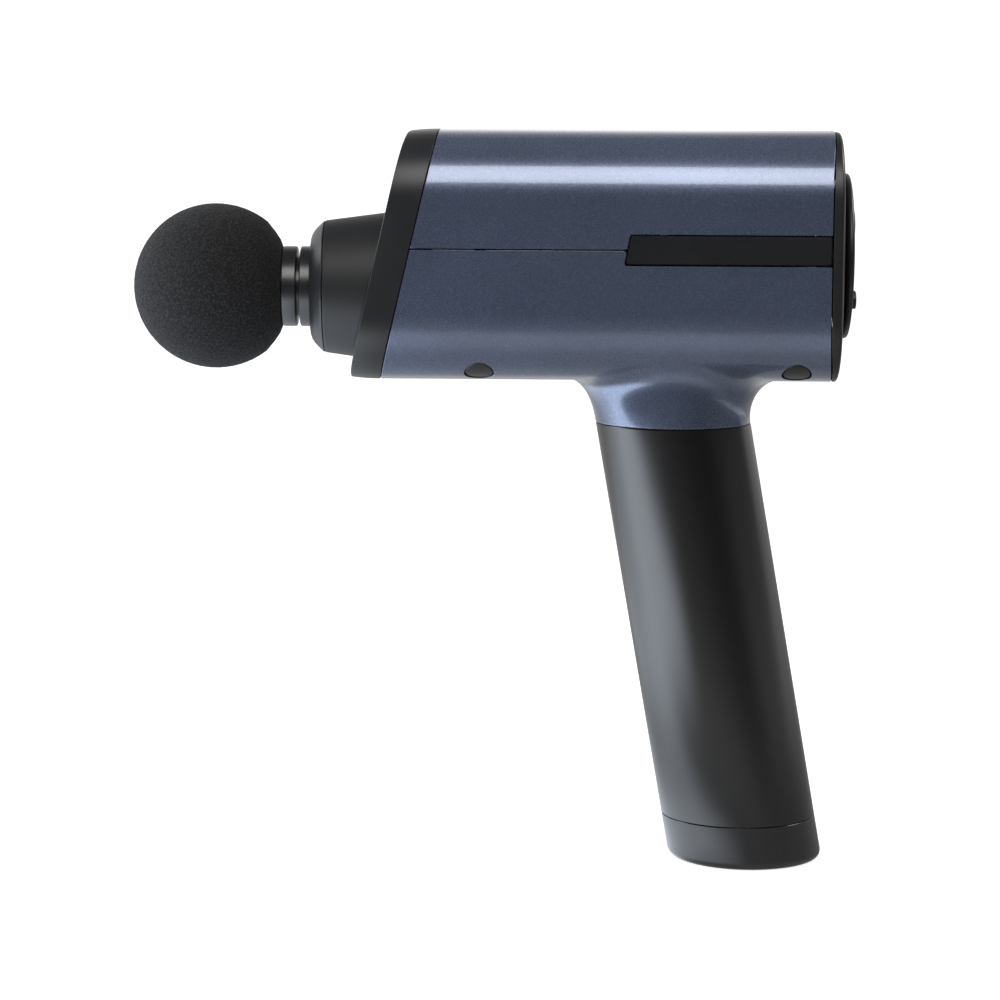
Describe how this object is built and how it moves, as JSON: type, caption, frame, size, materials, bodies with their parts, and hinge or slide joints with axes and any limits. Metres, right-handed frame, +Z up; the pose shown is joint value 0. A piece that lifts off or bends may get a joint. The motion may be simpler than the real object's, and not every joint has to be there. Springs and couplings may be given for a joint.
{
  "type": "massage gun",
  "caption": "Cordless percussion massage gun: leaning round grip, rounded blue body with a slanted black nose band, foam ball head on a reciprocating plunger.",
  "frame": {"origin": "centre of the handle's flat base, at its bottom surface", "axes": "+Z up along the standing height; the ball points towards -X and the control panel faces +X; +Y is the tool's right-hand side seen from behind the ball's back, and the tool is symmetric left to right about the XZ plane"},
  "size_m": [0.2161, 0.062, 0.2205],
  "materials": {
    "pearl_blue_paint": "gloss",
    "satin_black": "satin",
    "nose_black": "satin",
    "black_nylon": "satin",
    "soft_touch_grip": "matte",
    "eva_foam": "matte",
    "black_rubber": "matte",
    "smoked_lens": "gloss",
    "circuit_board": "satin",
    "bright_steel": "satin",
    "laminated_steel": "satin",
    "magnet": "satin",
    "copper_winding": "satin",
    "cast_aluminium": "satin",
    "battery_cell": "satin",
    "red_wire": "satin"
  },
  "bodies": {
    "housing": {"lower_shell": "pearl_blue_paint", "upper_shell": "pearl_blue_paint", "front_bezel": "satin_black", "rear_cap": "satin_black", "control_panel": "satin_black", "base_cap": "satin_black", "accent_strip_left": "satin_black", "accent_strip_right": "satin_black", "screw_plug_front_left": "satin_black", "screw_plug_front_right": "satin_black", "screw_plug_rear_left": "satin_black", "screw_plug_rear_right": "satin_black", "charge_port": "satin_black", "nose_cone": "nose_black", "nose_ring": "nose_black", "guide_bush": "black_nylon", "cell_holder_bottom": "black_nylon", "cell_holder_middle": "black_nylon", "cell_holder_top": "black_nylon", "handle_tube": "black_nylon", "grip_sleeve": "soft_touch_grip", "dust_seal": "black_rubber", "frame_damper_front": "black_rubber", "frame_damper_rear": "black_rubber", "display_lens": "smoked_lens", "button_board": "circuit_board", "main_board": "circuit_board", "battery_board": "circuit_board", "shell_screw_front_left": "bright_steel", "shell_screw_front_right": "bright_steel", "shell_screw_rear_left": "bright_steel", "shell_screw_rear_right": "bright_steel", "motor_bearing_upper": "bright_steel", "motor_bearing_lower": "bright_steel", "stator_core": "laminated_steel", "stator_windings": "copper_winding", "drive_frame": "cast_aluminium", "motor_base": "cast_aluminium", "battery_cell_1": "battery_cell", "battery_cell_2": "battery_cell", "battery_cell_3": "battery_cell", "battery_cell_4": "battery_cell", "battery_cell_5": "battery_cell", "battery_cell_6": "battery_cell", "battery_lead": "red_wire"},
    "rotor": {"rotor_can": "bright_steel", "rotor_magnets": "magnet", "motor_shaft": "bright_steel", "crank_disc": "bright_steel"},
    "plunger": {"plunger": "black_nylon", "wrist_pin": "bright_steel"},
    "rod": {"connecting_rod": "cast_aluminium", "big_end_bearing": "bright_steel", "crank_pin": "bright_steel"},
    "head": {"ball_foam": "eva_foam", "head_core": "black_nylon", "head_o_ring": "black_rubber"},
    "power_button": {"power_button": "satin_black"},
    "minus_button": {"minus_button": "satin_black"},
    "plus_button": {"plus_button": "satin_black"}
  },
  "joints": [
    {"name": "percussion", "type": "slide", "parent": "housing", "child": "plunger", "axis": [-1, 0, 0], "range_m": [0, 0.012]},
    {"name": "rotor_spin", "type": "hinge", "parent": "housing", "child": "rotor", "pos_m": [-0.006, 0, 0.198], "axis": [0, 0, 1], "continuous": true},
    {"name": "rod_swing", "type": "hinge", "parent": "plunger", "child": "rod", "pos_m": [-0.038, 0, 0.1733], "axis": [0, 0, 1], "range_deg": [-9.6, 9.6]},
    {"name": "head_pull", "type": "slide", "parent": "plunger", "child": "head", "axis": [-1, 0, 0], "range_m": [0, 0.031]},
    {"name": "power_button", "type": "slide", "parent": "housing", "child": "power_button", "axis": [-1, 0, 0], "range_m": [0, 0.0004], "stiffness_N_per_m": 4000, "springref_m": -0.0001},
    {"name": "minus_button", "type": "slide", "parent": "housing", "child": "minus_button", "axis": [-1, 0, 0], "range_m": [0, 0.0004], "stiffness_N_per_m": 4000, "springref_m": -0.0001},
    {"name": "plus_button", "type": "slide", "parent": "housing", "child": "plus_button", "axis": [-1, 0, 0], "range_m": [0, 0.0004], "stiffness_N_per_m": 4000, "springref_m": -0.0001}
  ],
  "couplings": [
    {"joint": "rotor_spin", "follows": "percussion", "rad_per_m": 261.8}
  ]
}
